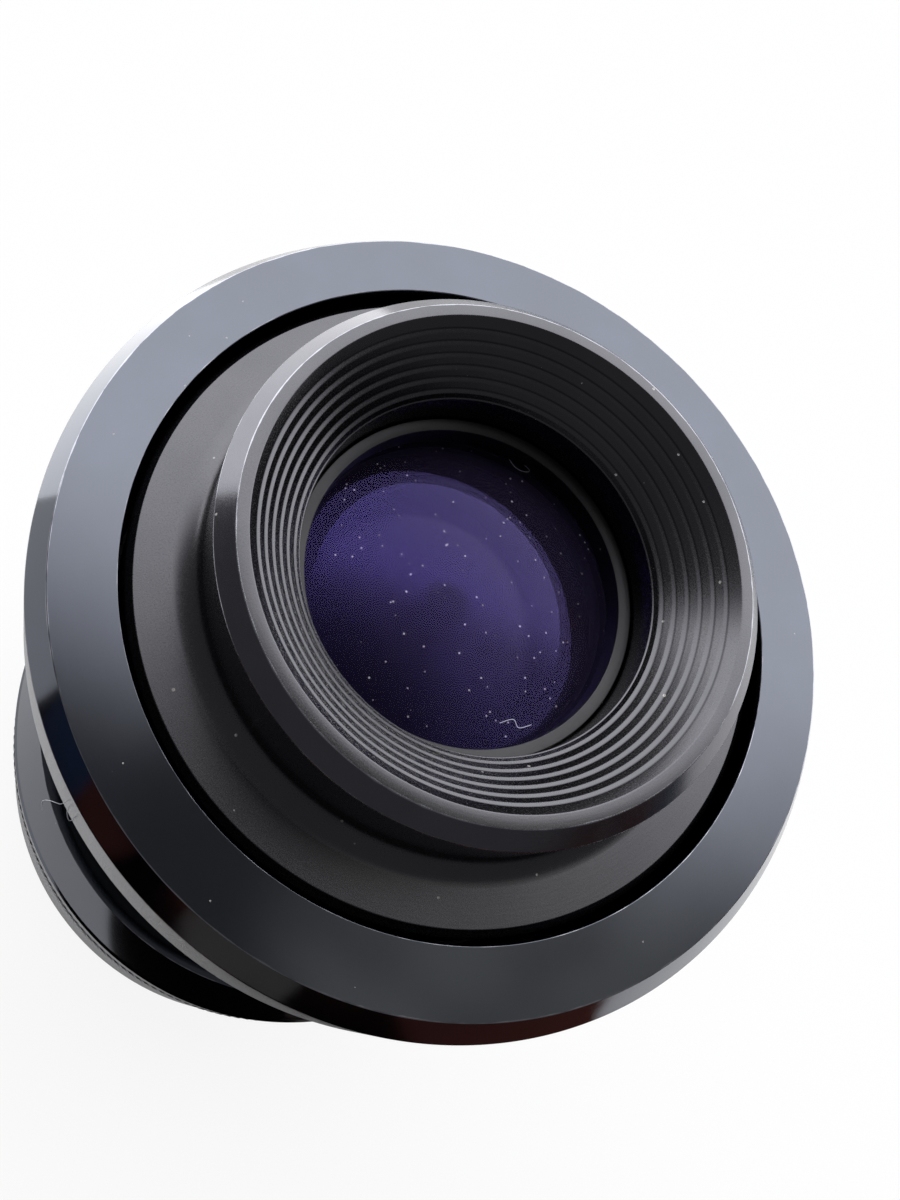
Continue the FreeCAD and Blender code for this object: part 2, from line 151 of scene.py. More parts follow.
EDGE_BREAK = 0.06
LEAST_BREAK = 0.004
AROUND = 360
AROUND_GLASS = 192
AROUND_THREAD = 256
AROUND_FLANGE = 512
STEPS_PER_TOOTH = 6

# What the surfaces show, in millimetres. The grain of the oxide and the lathe lines of the
# finishes further down are drawn a little coarser than they are, so that they show.

OXIDE_GRAIN = 0.11
DYE_CLOUD = 7.0
RUBBED_PATCH = 1.6
WORN_WIDTH = 0.11
WORN_WIDTH_LEAST = 0.03
MARK_RING = 2.0
COATING_BAND = 4.0
FINGER_FILM = 2.0
SPECK_SPACING = 1.7
SPECK = 0.13
GLASS_SPECK_SPACING = 0.75
GLASS_SPECK = 0.1
FIBRE_THICKNESS = 0.025

# Shares of a surface's marks: dye gone from a rubbed edge, painted shade in a corner of the ridges,
# cells of the dust's scatter that stay empty

RUBBED_SHARE = 0.6
CORNER_SHADE_SHARE = 0.6
EMPTY_CELLS = 0.66


# Nodes and colours

def linear(hex_colour):
    """An sRGB hex colour as linear red, green, blue and full alpha."""
    parts = [int(hex_colour[i:i + 2], 16) / 255 for i in (1, 3, 5)]
    light = [p / 12.92 if p <= 0.04045 else ((p + 0.055) / 1.055) ** 2.4 for p in parts]
    return (*light, 1.0)


def add_node(tree, kind, settings=None, links=None):
    """Adds a node. Settings are its own properties or the values of its inputs, and links say
    which socket feeds an input."""
    node = tree.nodes.new(kind)
    for name, value in (settings or {}).items():
        if isinstance(name, str) and hasattr(node, name):
            setattr(node, name, value)
        else:
            node.inputs[name].default_value = value
    for name, socket in (links or {}).items():
        tree.links.new(socket, node.inputs[name])
    return node


def new_material(name):
    """A material without nodes, and its tree."""
    material = bpy.data.materials.new(name)
    material.use_nodes = True
    tree = material.node_tree
    tree.nodes.clear()
    return material, tree


def millimetres(tree):
    """Object coordinates in millimetres."""
    place = add_node(tree, "ShaderNodeTexCoord").outputs["Object"]
    return add_node(tree, "ShaderNodeVectorMath", {"operation": "SCALE", "Scale": 1 / MM},
                    {0: place}).outputs[0]


def lathe_coordinates(tree, place):
    """Radius, height and angle about the optical axis, as one vector in millimetres. The angle is
    given as a length round a small ring, so that marks are long around the axis."""
    split = add_node(tree, "ShaderNodeSeparateXYZ", links={0: place})
    flat = add_node(tree, "ShaderNodeCombineXYZ", links={
        "X": split.outputs["X"], "Y": split.outputs["Y"]})
    reach = add_node(tree, "ShaderNodeVectorMath", {"operation": "LENGTH"}, {0: flat.outputs[0]})
    angle = add_node(tree, "ShaderNodeMath", {"operation": "ARCTAN2"},
                     {0: split.outputs["Y"], 1: split.outputs["X"]})
    around = add_node(tree, "ShaderNodeMath", {"operation": "MULTIPLY", 1: MARK_RING},
                      {0: angle.outputs[0]})
    return add_node(tree, "ShaderNodeCombineXYZ", links={
        "X": reach.outputs["Value"], "Y": split.outputs["Z"], "Z": around.outputs[0]}).outputs[0]


def dust_specks(tree, place, spacing, size):
    """Single specks of pale dust: one in about three cells of a scatter holds a speck."""
    scatter = add_node(tree, "ShaderNodeTexVoronoi", {"Scale": 1 / spacing, "Randomness": 1.0},
                       {"Vector": place})
    speck = add_node(tree, "ShaderNodeMapRange", {
        "From Min": size / spacing, "From Max": 0.5 * size / spacing, "To Min": 0.0, "To Max": 1.0},
        {"Value": scatter.outputs["Distance"]})
    chosen = add_node(tree, "ShaderNodeSeparateColor", links={"Color": scatter.outputs["Color"]})
    held = add_node(tree, "ShaderNodeMath", {"operation": "GREATER_THAN", 1: EMPTY_CELLS},
                    {0: chosen.outputs["Red"]})
    return add_node(tree, "ShaderNodeMath", {"operation": "MULTIPLY"},
                    {0: speck.outputs[0], 1: held.outputs[0]}).outputs[0]


def edge_wear(tree, lathe, place, edges):
    """Where hands and caps have rubbed the dye off turned edges, given as (radius, height)."""
    flat = add_node(tree, "ShaderNodeVectorMath", {"operation": "MULTIPLY", 1: (1, 1, 0)},
                    {0: lathe})
    nearest = None
    for radius, height in edges:
        gap = add_node(tree, "ShaderNodeVectorMath", {
            "operation": "DISTANCE", 1: (radius, height, 0)},
            {0: flat.outputs[0]}).outputs["Value"]
        if nearest is not None:
            gap = add_node(tree, "ShaderNodeMath", {"operation": "MINIMUM"},
                           {0: nearest, 1: gap}).outputs[0]
        nearest = gap
    uneven = add_node(tree, "ShaderNodeTexNoise", {"Scale": 1 / RUBBED_PATCH, "Detail": 3.0},
                      {"Vector": place})
    width = add_node(tree, "ShaderNodeMapRange", {
        "From Min": 0.35, "From Max": 0.7, "To Min": WORN_WIDTH_LEAST, "To Max": WORN_WIDTH},
        {"Value": uneven.outputs["Fac"]})
    near = add_node(tree, "ShaderNodeMath", {"operation": "DIVIDE"},
                    {0: nearest, 1: width.outputs[0]})
    return add_node(tree, "ShaderNodeMapRange", {
        "From Min": 1.0, "From Max": 0.4, "To Min": 0.0, "To Max": RUBBED_SHARE},
        {"Value": near.outputs[0]}).outputs[0]


def ridge_corner_shade(tree, lathe):
    """Painted shade: a near-black colour in the corners at the foot of each anti-glare ridge, where
    the riser above shades the tread.
    """
    split = add_node(tree, "ShaderNodeSeparateXYZ", links={0: lathe})
    first_foot = MOUTH_RADIUS - FIRST_RISER_RUN
    count = add_node(tree, "ShaderNodeMapRange", {
        "clamp": False, "From Min": first_foot, "From Max": first_foot - RIDGE_RUN, "To Min": 0.0,
        "To Max": 1.0}, {"Value": split.outputs["X"]})
    part = add_node(tree, "ShaderNodeMath", {"operation": "PINGPONG", 1: 0.5},
                    {0: count.outputs[0]})
    corner = add_node(tree, "ShaderNodeMapRange", {
        "From Min": 0.13, "From Max": 0.02, "To Min": 0.0, "To Max": CORNER_SHADE_SHARE},
        {"Value": part.outputs[0]})
    within = add_node(tree, "ShaderNodeMath", {"operation": "LESS_THAN", 1: first_foot + 0.1},
                      {0: split.outputs["X"]})
    return add_node(tree, "ShaderNodeMath", {"operation": "MULTIPLY"},
                    {0: corner.outputs[0], 1: within.outputs[0]}).outputs[0]


def anodised(name, colour, faded_colour, roughness, line_pitch, line_depth, grain_depth,
             rough_swing, worn_edges=(), ridged=False, speck_size=SPECK):
    """Black anodised aluminium, as turned or polished. The dyed oxide is thin and clear over metal,
    so it reflects like a very dark metal: lathe lines make fine rings in its gloss, the dye is a
    little uneven, rubbed edges are paler, and dust lies on it as small pale specks."""
    material, tree = new_material(name)
    place = millimetres(tree)
    lathe = lathe_coordinates(tree, place)
    lines = add_node(tree, "ShaderNodeTexNoise",
                     {"Scale": 1 / line_pitch, "Detail": 2.0, "Roughness": 0.5}, {"Vector": lathe})
    grain = add_node(tree, "ShaderNodeTexNoise",
                     {"Scale": 1 / OXIDE_GRAIN, "Detail": 2.0, "Roughness": 0.6}, {"Vector": place})
    clouds = add_node(tree, "ShaderNodeTexNoise",
                      {"Scale": 1 / DYE_CLOUD, "Detail": 5.0, "Roughness": 0.6}, {"Vector": place})
    shade = add_node(tree, "ShaderNodeMix", {
        "data_type": "RGBA", "A": linear(colour), "B": linear(faded_colour)},
        {"Factor": clouds.outputs["Fac"]}).outputs["Result"]
    specks = dust_specks(tree, place, SPECK_SPACING, speck_size)
    layers = [(specks, "#c9c6c2")]
    if ridged:
        # painted shade: a near-black colour laid into the corners at the foot of the ridges
        layers.insert(0, (ridge_corner_shade(tree, lathe), "#17171a"))
    if worn_edges:
        layers.insert(0, (edge_wear(tree, lathe, place, worn_edges), "#b9bac2"))
    for share, layer_colour in layers:
        shade = add_node(tree, "ShaderNodeMix", {"data_type": "RGBA", "B": linear(layer_colour)},
                         {"Factor": share, "A": shade}).outputs["Result"]
    gloss = add_node(tree, "ShaderNodeMapRange",
                     {"From Min": 0.3, "From Max": 0.7, "To Min": roughness - rough_swing,
                      "To Max": roughness + rough_swing}, {"Value": grain.outputs["Fac"]})
    dusty_gloss = add_node(tree, "ShaderNodeMath", {"operation": "MAXIMUM"},
                           {0: gloss.outputs[0], 1: specks})
    turned_bump = add_node(tree, "ShaderNodeBump", {"Strength": 1.0, "Distance": line_depth * MM},
                           {"Height": lines.outputs["Fac"]})
    bump = add_node(tree, "ShaderNodeBump", {"Strength": 1.0, "Distance": grain_depth * MM},
                    {"Height": grain.outputs["Fac"], "Normal": turned_bump.outputs["Normal"]})
    shader = add_node(tree, "ShaderNodeBsdfPrincipled", {"Metallic": 1.0}, {
        "Base Color": shade, "Roughness": dusty_gloss.outputs[0], "Normal": bump.outputs["Normal"]})
    add_node(tree, "ShaderNodeOutputMaterial", links={"Surface": shader.outputs[0]})
    return material


def coated_glass(name, coating, body, ior=1.52, dust_and_sheen=False):
    """Polished optical glass with an anti-reflection coating: clear to look through, and what it
    reflects is weak and takes the coating's colour. With dust and sheen, a faint violet diffuse
    film paints a sheen that is stronger towards the far side, and pale specks of dust lie on it."""
    material, tree = new_material(name)
    place = millimetres(tree)
    haze = add_node(tree, "ShaderNodeTexNoise", {"Scale": 1 / FINGER_FILM, "Detail": 3.0},
                    {"Vector": place})
    film = add_node(tree, "ShaderNodeMapRange", {
        "From Min": 0.35, "From Max": 0.75, "To Min": 0.0, "To Max": 0.04},
        {"Value": haze.outputs["Fac"]})
    shader = add_node(tree, "ShaderNodeBsdfPrincipled", {
        "Base Color": linear(body), "Transmission Weight": 1.0, "IOR": ior,
        "Specular Tint": linear(coating)}, {"Roughness": film.outputs[0]})
    surface = shader.outputs[0]
    if dust_and_sheen:
        # painted sheen: a faint violet diffuse film, stronger towards the far side, lightens that
        # side of the glass
        sheen_tone = add_node(tree, "ShaderNodeTexNoise", {"Scale": 1 / DYE_CLOUD, "Detail": 2.0},
                         {"Vector": place})
        tint = add_node(tree, "ShaderNodeMix", {
            "data_type": "RGBA", "A": linear("#8f8ae0"), "B": linear("#a884b4")},
            {"Factor": sheen_tone.outputs["Fac"]})
        scatter = add_node(tree, "ShaderNodeBsdfDiffuse", links={"Color": tint.outputs["Result"]})
        across = add_node(tree, "ShaderNodeSeparateXYZ", links={0: place})
        thin = add_node(tree, "ShaderNodeMapRange", {
            "From Min": -GLASS_OPENING, "From Max": GLASS_OPENING, "To Min": 0.003,
            "To Max": 0.04}, {"Value": across.outputs["Y"]})
        surface = add_node(tree, "ShaderNodeMixShader", links={
            0: thin.outputs[0], 1: surface, 2: scatter.outputs[0]}).outputs[0]
        dust = add_node(tree, "ShaderNodeBsdfDiffuse", {"Color": linear("#b4aeb8")})
        specks = dust_specks(tree, place, GLASS_SPECK_SPACING, GLASS_SPECK)
        surface = add_node(tree, "ShaderNodeMixShader", links={
            0: specks, 1: surface, 2: dust.outputs[0]}).outputs[0]
    add_node(tree, "ShaderNodeOutputMaterial", links={"Surface": surface})
    return material


def sunken_glass(name, colour, coating):
    """The lens behind the front one, first of a cemented pair. Light that goes down to it doesn't
    come back, so it is made opaque: a deep violet with a weak coloured shine, darker in cloudy
    bands."""
    material, tree = new_material(name)
    bands = add_node(tree, "ShaderNodeTexNoise", {"Scale": 1 / COATING_BAND, "Detail": 2.0},
                     {"Vector": millimetres(tree)})
    depth = add_node(tree, "ShaderNodeMix", {
        "data_type": "RGBA", "A": linear("#060609"), "B": linear(colour)},
        {"Factor": bands.outputs["Fac"]})
    shader = add_node(tree, "ShaderNodeBsdfPrincipled", {
        "Roughness": 0.12, "Specular Tint": linear(coating)},
        {"Base Color": depth.outputs["Result"]})
    add_node(tree, "ShaderNodeOutputMaterial", links={"Surface": shader.outputs[0]})
    return material


# Bodies turned about the optical axis

def eased(outline, default_break):
    """The outline with each corner broken by a small arc. A corner is (radius, height) or
    (radius, height, break), and a break of 0 keeps it sharp."""
    count = len(outline)
    points = []
    for index, corner in enumerate(outline):
        here = Vector(corner[:2])
        back = Vector(outline[index - 1][:2]) - here
        onward = Vector(outline[(index + 1) % count][:2]) - here
        wanted = corner[2] if len(corner) > 2 else default_break
        reach = min(wanted, back.length * 0.4, onward.length * 0.4)
        if reach < LEAST_BREAK:
            points.append(here)
            continue
        start = here + back.normalized() * reach
        end = here + onward.normalized() * reach
        for part in (0.0, 0.33, 0.67, 1.0):
            one = start.lerp(here, part)
            two = here.lerp(end, part)
            points.append(one.lerp(two, part))
    return points


def cove(centre, radius, start, end, count):
    """Points of a round stretch of an outline, between two angles in degrees."""
    points = []
    for index in range(count + 1):
        angle = math.radians(start + (end - start) * index / count)
        points.append((centre[0] + radius * math.cos(angle),
                       centre[1] + radius * math.sin(angle), 0))
    return points


def spun_mesh(name, outline, segments, shape=None, closed=True):
    """The mesh of an outline spun about the optical axis. shape may change a point's radius with
    the angle."""
    vertices = []
    rings = []
    for point in outline:
        reach, height = point[0], point[1]
        if reach < 1e-6:
            rings.append([len(vertices)] * segments)
            vertices.append((0.0, 0.0, height * MM))
            continue
        ring = []
        for step in range(segments):
            angle = 2 * math.pi * step / segments
            here = shape(reach, height, angle) if shape else reach
            ring.append(len(vertices))
            vertices.append((here * math.cos(angle) * MM, here * math.sin(angle) * MM, height * MM))
        rings.append(ring)
    faces = []
    pairs = list(zip(rings, rings[1:]))
    if closed:
        pairs.append((rings[-1], rings[0]))
    for first, second in pairs:
        for step in range(segments):
            following = (step + 1) % segments
            corners = [first[step], first[following], second[following], second[step]]
            face = [c for i, c in enumerate(corners) if c not in corners[:i]]
            if len(face) > 2:
                faces.append(face)
    mesh = bpy.data.meshes.new(name)
    mesh.from_pydata(vertices, [], faces)
    outward = bmesh.new()
    outward.from_mesh(mesh)
    bmesh.ops.recalc_face_normals(outward, faces=outward.faces)
    outward.to_mesh(mesh)
    outward.free()
    return mesh


def placed(name, mesh, material, node=None):
    """A piece of the lens: linked to the scene, riding on the body, with its finish."""
    piece = bpy.data.objects.new(name, mesh)
    bpy.context.scene.collection.objects.link(piece)
    mesh.materials.append(material)
    mesh.shade_smooth()
    if node:
        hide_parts(node)
    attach(piece, "root")
    return piece


def weighted(piece):
    """Shading that keeps wide faces flat up to their narrow edge breaks."""
    modifier = piece.modifiers.new("face_weighted", "WEIGHTED_NORMAL")
    modifier.weight = 80
    modifier.keep_sharp = True


def turned(name, node, outline, material, segments=AROUND, shape=None):
    """A piece turned on the lathe from its outline, in the place of its node."""
    mesh = spun_mesh(name, eased(outline, EDGE_BREAK), segments, shape)
    piece = placed(name, mesh, material, node)
    weighted(piece)
    return piece


def radial_holes(piece, height, inner, outside):
    """Cuts the three set screw holes through a turned wall."""
    cutters = bpy.data.meshes.new("screw_hole_cutters")
    vertices = []
    faces = []
    sides = 32
    for index in range(SCREW_COUNT):
        turn = math.radians(FIRST_SCREW_TURN + 360 * index / SCREW_COUNT)
        along = Vector((math.cos(turn), math.sin(turn), 0))
        across = Vector((-math.sin(turn), math.cos(turn), 0))
        first = len(vertices)
        for reach in (inner, outside):
            for side in range(sides):
                angle = 2 * math.pi * side / sides
                rim = across * math.cos(angle) + Vector((0, 0, 1)) * math.sin(angle)
                point = along * reach + rim * SCREW_HOLE_RADIUS + Vector((0, 0, height))
                vertices.append(point * MM)
        for side in range(sides):
            following = (side + 1) % sides
            faces.append((first + side, first + following,
                          first + sides + following, first + sides + side))
        faces.append(tuple(first + side for side in reversed(range(sides))))
        faces.append(tuple(first + sides + side for side in range(sides)))
    cutters.from_pydata(vertices, [], faces)
    cutter = bpy.data.objects.new("screw_hole_cutters", cutters)
    bpy.context.scene.collection.objects.link(cutter)
    cut = piece.modifiers.new("screw_holes", "BOOLEAN")
    cut.operation = "DIFFERENCE"
    cut.solver = "EXACT"
    cut.object = cutter
    bpy.context.view_layer.update()
    seen = piece.evaluated_get(bpy.context.evaluated_depsgraph_get())
    result = bpy.data.meshes.new_from_object(seen)
    piece.modifiers.clear()
    old = piece.data
    piece.data = result
    result.name = old.name
    bpy.data.meshes.remove(old)
    bpy.data.objects.remove(cutter)
    weighted(piece)


def sag(curve, reach):
    """How far a face of that radius of curvature has fallen, at a reach from the axis."""
    return curve - math.sqrt(curve ** 2 - reach ** 2)


def spherical(curve, reach, seat, bulge, outward):
    """Points of a ground face from the axis out to its seat, or back if not outward."""
    points = []
    count = 20
    for index in range(count + 1):
        here = reach * index / count
        points.append((here, seat + bulge * (sag(curve, reach) - sag(curve, here))))
    return points if outward else points[::-1]


def ground_lens(node, material, front, back):
    """A lens with flat seats. A face is (curve, reach, bulge) with bulge +1 up and -1 down, or
    None where it is flat."""
    rim = outer(node)
    top = high(node) if front is None or front[2] < 0 else high(node) - sag(front[0], front[1])
    bottom = low(node) if back is None or back[2] > 0 else low(node) + sag(back[0], back[1])
    outline = spherical(front[0], front[1], top, front[2], True) if front else [(0, top)]
    outline += [(rim - LENS_BEVEL, top), (rim, top - LENS_BEVEL),
                (rim, bottom + LENS_BEVEL), (rim - LENS_BEVEL, bottom)]
    outline += spherical(back[0], back[1], bottom, back[2], False) if back else [(0, bottom)]
    mesh = spun_mesh(f"{node}_glass", outline, AROUND_GLASS, closed=False)
    weighted(placed(f"{node}_glass", mesh, material, node))


def front_barrel(material, rim_material):
    """Hood, anti-glare ridges, cove and shoulder. The rim's chamfer is rubbed by hands."""
    hood_foot = LENS_TOP - HOOD_LENGTH
    foot = HOOD_RADIUS - HOOD_TAPER - FOOT_UNDERCUT
    shoulder = hood_foot - COVE_RADIUS
    end = low("front_barrel")
    first_ridge = LENS_TOP - FIRST_RISER_FALL
    last_crest = first_ridge - RIDGE_FALL * (RIDGE_COUNT - 1) - TREAD_FALL
    bore_ledge = last_crest - LAST_RISER_FALL
    outline = [
        (MOUTH_RADIUS + RIM_WIDTH, LENS_TOP, 0.05),
        (HOOD_RADIUS, LENS_TOP - RIM_CHAMFER, 0.08),
        (HOOD_RADIUS - HOOD_TAPER, hood_foot, 0.12),
        (foot + 0.02, hood_foot, 0.05),
    ]
    outline += cove((foot + COVE_RADIUS, hood_foot), COVE_RADIUS, 184, 270, 10)
    outline += [
        (SHOULDER_RADIUS - SHOULDER_CHAMFER, shoulder, 0.05),
        (SHOULDER_RADIUS, shoulder - SHOULDER_CHAMFER, 0.05),
        (SHOULDER_RADIUS, BARREL_STEP),
        (SPIGOT_RADIUS, BARREL_STEP),
        (SPIGOT_RADIUS, end),
        (SEAT_BORE, end),
        (SEAT_BORE, end + SEAT_WALL),
        (LENS_BORE, end + SEAT_WALL),
        (LENS_BORE, bore_ledge - BORE_LEDGE_FALL, 0.03),
        (LENS_BORE + BORE_LEDGE_RUN, bore_ledge, 0.02),
    ]
    for ridge in reversed(range(RIDGE_COUNT)):
        riser_foot = MOUTH_RADIUS - FIRST_RISER_RUN - RIDGE_RUN * ridge
        height = first_ridge - RIDGE_FALL * ridge
        outline.append((riser_foot - TREAD_RUN, height - TREAD_FALL, 0.07))
        outline.append((riser_foot, height, 0.03))
    outline.append((MOUTH_RADIUS, LENS_TOP, 0.06))
    piece = turned("hood_barrel", "front_barrel", outline, material)
    piece.data.materials.append(rim_material)
    beyond = (MOUTH_RADIUS + RIM_WIDTH) * MM
    above = (LENS_TOP - RIM_CHAMFER) * MM
    for face in piece.data.polygons:
        if math.hypot(face.center.x, face.center.y) > beyond and face.center.z > above:
            face.material_index = 1


def front_ring(material):
    """The threaded ring that holds the front lens, its face falling a little to the glass."""
    outside = LENS_BORE - THREAD_GAP
    seat = low("front_retaining_ring")
    face = high("front_retaining_ring")
    turned("glass_retaining_ring", "front_retaining_ring", [
        (GLASS_OPENING, seat),
        (outside, seat),
        (outside, face, 0.12),
        (GLASS_OPENING, face - RING_FALL, 0.05),
    ], material, segments=AROUND_THREAD)


def side_wall(piece, material, nearest, top):
    """Gives the outside wall of a ring, beyond a radius and below a height, its own finish."""
    piece.data.materials.append(material)
    for face in piece.data.polygons:
        if math.hypot(face.center.x, face.center.y) > nearest * MM and face.center.z < top * MM:
            face.material_index = 1


def flange(material, edge_material):
    """The wide polished ring, with its chamfer and a turned outside wall."""
    back = low("flange_ring")
    over_sleeve = SLEEVE_RADIUS + THREAD_GAP
    piece = turned("polished_flange", "flange_ring", [
        (FLANGE_BORE, FLANGE_FACE, 0.08),
        (FLANGE_FACE_RADIUS, FLANGE_FACE, 0.05),
        (FLANGE_RADIUS, FLANGE_FACE - FLANGE_CHAMFER, 0.1),
        (FLANGE_RADIUS, back, FLANGE_REAR_ROUND),
        (over_sleeve, back),
        (over_sleeve, FLANGE_FACE - FLANGE_LIP),
        (FLANGE_BORE, FLANGE_FACE - FLANGE_LIP),
    ], material, segments=AROUND_FLANGE)
    side_wall(piece, edge_material, FLANGE_RADIUS - 0.3, FLANGE_FACE - FLANGE_CHAMFER)


def sleeve(material):
    """The neck between the flange and the rear ring, with its three screw holes."""
    top = high("mount_sleeve")
    bottom = low("mount_sleeve")
    piece = turned("neck_sleeve", "mount_sleeve", [
        (FLANGE_BORE, top),
        (SLEEVE_RADIUS, top),
        (SLEEVE_RADIUS, bottom),
        (SLEEVE_BORE, bottom),
        (SLEEVE_BORE, LEDGE_HEIGHT),
        (FLANGE_BORE, LEDGE_HEIGHT),
    ], material, segments=AROUND_THREAD)
    radial_holes(piece, SLEEVE_SCREW_HEIGHT, SLEEVE_BORE - 1, SLEEVE_RADIUS + 1)


def knurled(reach, height, angle):
    """Radius in the knurled band: a vee between narrow crests, which runs out at both ends."""
    foot = KNURL_TOP - KNURL_WIDTH
    if reach < KNURL_RADIUS - 0.02 or not foot - 0.01 < height < KNURL_TOP + 0.01:
        return reach
    part = angle * KNURL_TEETH / (2 * math.pi) % 1.0
    fall = min(1.0, abs(part - 0.5) * 2 / KNURL_VEE_SHARE)
    at_end = min(KNURL_TOP - height, height - foot) < 0.01
    depth = reach - REAR_RADIUS if at_end else KNURL_DEPTH
    return KNURL_RADIUS - depth * (1 - fall)


def rear_ring(material, edge_material):
    """The ring the lens stands on, with a long steep chamfer and a narrow straight knurl."""
    over_sleeve = SLEEVE_RADIUS + THREAD_GAP
    foot = KNURL_TOP - KNURL_WIDTH
    piece = turned("knurled_rear_ring", "rear_ring", [
        (over_sleeve, REAR_TOP),
        (SHELF_RADIUS, REAR_TOP, 0.08),
        (CHAMFER_FOOT_RADIUS, CHAMFER_FOOT, 0.04),
        (REAR_RADIUS, CHAMFER_FOOT - CHAMFER_BREAK, 0.04),
        (REAR_RADIUS, KNURL_TOP, 0),
        (KNURL_RADIUS, KNURL_TOP, 0),
        (KNURL_RADIUS, KNURL_TOP - KNURL_RUN_OUT, 0),
        (KNURL_RADIUS, foot + KNURL_RUN_OUT, 0),
        (KNURL_RADIUS, foot, 0),
        (REAR_RADIUS, foot, 0),
        (REAR_RADIUS, END_CHAMFER, 0.05),
        (REAR_RADIUS - END_CHAMFER, 0, 0),
        (LIP_BORE + END_CHAMFER, 0, 0),
        (LIP_BORE, END_CHAMFER, 0),
        (LIP_BORE, LIP_THICKNESS),
        (over_sleeve, LIP_THICKNESS),
    ], material,
       segments=KNURL_TEETH * STEPS_PER_TOOTH, shape=knurled)
    side_wall(piece, edge_material, REAR_RADIUS - 0.6, CHAMFER_FOOT - CHAMFER_BREAK)
    radial_holes(piece, REAR_SCREW_HEIGHT, over_sleeve - 1, REAR_RADIUS + 1)


def lint(material):
    """Loose textile fibres that have settled on the glass and at the flange's edge, as thin
    curled threads. Each is given by points in millimetres."""
    def on_glass(x, y, lift):
        return (x, y, high("front_lens") - sag(FRONT_CURVE, math.hypot(x, y)) + lift)

    threads = [
        [on_glass(-5.2, 11.0, 0.3), on_glass(-4.4, 10.9, 0.2), on_glass(-3.7, 11.2, 0.3),
         on_glass(-3.5, 11.6, 0.5), on_glass(-4.4, 11.6, 0.5)],
        [on_glass(9.2, -4.9, 0.3), on_glass(9.7, -3.8, 0.1), on_glass(10.4, -3.9, 0.3),
         on_glass(10.9, -2.9, 0.2)],
        [(-7.1, -32.0, 68.5), (-7.5, -31.7, 69.5), (-7.1, -31.4, 70.5), (-6.4, -31.1, 71.5),
         (-6.2, -30.6, 72.0), (-5.6, -30.5, 71.8), (-5.1, -30.9, 71.2),
         (-5.2, -31.3, 71.2), (-5.7, -31.1, 71.6), (-5.9, -30.7, 71.9)],
    ]
    vertices = []
    faces = []
    sides = 5
    steps = 8
    for thread in threads:
        points = [Vector(p) for p in thread]
        path = []
        for index in range(len(points) - 1):
            before = points[max(index - 1, 0)]
            start, end = points[index], points[index + 1]
            after = points[min(index + 2, len(points) - 1)]
            for part in range(steps):
                t = part / steps
                path.append(0.5 * ((2 * start) + (end - before) * t
                                   + (2 * before - 5 * start + 4 * end - after) * t ** 2
                                   + (3 * start - before - 3 * end + after) * t ** 3))
        path.append(points[-1])
        first = len(vertices)
        for index, point in enumerate(path):
            along = (path[min(index + 1, len(path) - 1)] - path[max(index - 1, 0)]).normalized()
            across = along.cross(Vector((0.3, 0.2, 0.93))).normalized()
            other = along.cross(across)
            for side in range(sides):
                turn = 2 * math.pi * side / sides
                away = across * math.cos(turn) + other * math.sin(turn)
                vertices.append((point + away * FIBRE_THICKNESS) * MM)
        for index in range(len(path) - 1):
            for side in range(sides):
                following = (side + 1) % sides
                one = first + index * sides
                faces.append((one + side, one + following,
                              one + sides + following, one + sides + side))
    mesh = bpy.data.meshes.new("dust_fibres")
    mesh.from_pydata(vertices, [], faces)
    placed("dust_fibres", mesh, material)


# White textile fibre: dull threads that catch the light, uneven along their length.
fibre_white, fibre_tree = new_material("white_textile_fibre")
fibre_clouds = add_node(fibre_tree, "ShaderNodeTexNoise", {"Scale": 1 / RUBBED_PATCH}, {
    "Vector": millimetres(fibre_tree)})
fibre_colour = add_node(fibre_tree, "ShaderNodeMix", {
    "data_type": "RGBA", "A": linear("#b9bcc4"), "B": linear("#e6e8ee")},
    {"Factor": fibre_clouds.outputs["Fac"]})
fibre_shader = add_node(fibre_tree, "ShaderNodeBsdfPrincipled", {"Roughness": 0.6}, {
    "Base Color": fibre_colour.outputs["Result"]})
add_node(fibre_tree, "ShaderNodeOutputMaterial", links={"Surface": fibre_shader.outputs[0]})

# Polished before it was anodised: a dark mirror that shows the room almost sharply.
polished = anodised(
    "polished_black_anodised_aluminium", "#56595f", "#5d6069", roughness=0.1, line_pitch=0.35,
    line_depth=0.0005, grain_depth=0.0002, rough_swing=0.015, speck_size=0.07, worn_edges=[
        (FLANGE_BORE, FLANGE_FACE), (FLANGE_FACE_RADIUS, FLANGE_FACE),
        (FLANGE_RADIUS, FLANGE_FACE - FLANGE_CHAMFER), (SHELF_RADIUS, REAR_TOP),
        (REAR_RADIUS, CHAMFER_FOOT - 0.2)])

# Fine turned, then anodised: a soft sheen in rings and paler along its rubbed edges. The corners
# of the ridges are darkened with painted shade.
satin = anodised(
    "satin_turned_black_anodised_aluminium", "#4f4f53", "#5b5b5e", roughness=0.25,
    line_pitch=0.16, line_depth=0.0022, grain_depth=0.0018, rough_swing=0.05, ridged=True,
    worn_edges=[
        (MOUTH_RADIUS + RIM_WIDTH, LENS_TOP), (HOOD_RADIUS, LENS_TOP - RIM_CHAMFER),
        (HOOD_RADIUS - HOOD_TAPER, LENS_TOP - HOOD_LENGTH),
        (SHOULDER_RADIUS - 0.2, LENS_TOP - HOOD_LENGTH - COVE_RADIUS)])

# The rim's chamfer, rubbed by hands and caps: a little smoother and paler than the hood.
rubbed_rim = anodised(
    "hand_rubbed_black_anodised_aluminium", "#5c5c61", "#6c6c72", roughness=0.17,
    line_pitch=0.16, line_depth=0.0015, grain_depth=0.0012, rough_swing=0.04, worn_edges=[
        (MOUTH_RADIUS + RIM_WIDTH, LENS_TOP), (HOOD_RADIUS, LENS_TOP - RIM_CHAMFER)])

# The outside walls of the two large rings as the lathe left them: grainy, with a broad sheen.
turned_edge = anodised(
    "turned_edge_of_black_anodised_aluminium", "#4c4d53", "#5c5d62", roughness=0.3,
    line_pitch=0.2, line_depth=0.004, grain_depth=0.005, rough_swing=0.08)

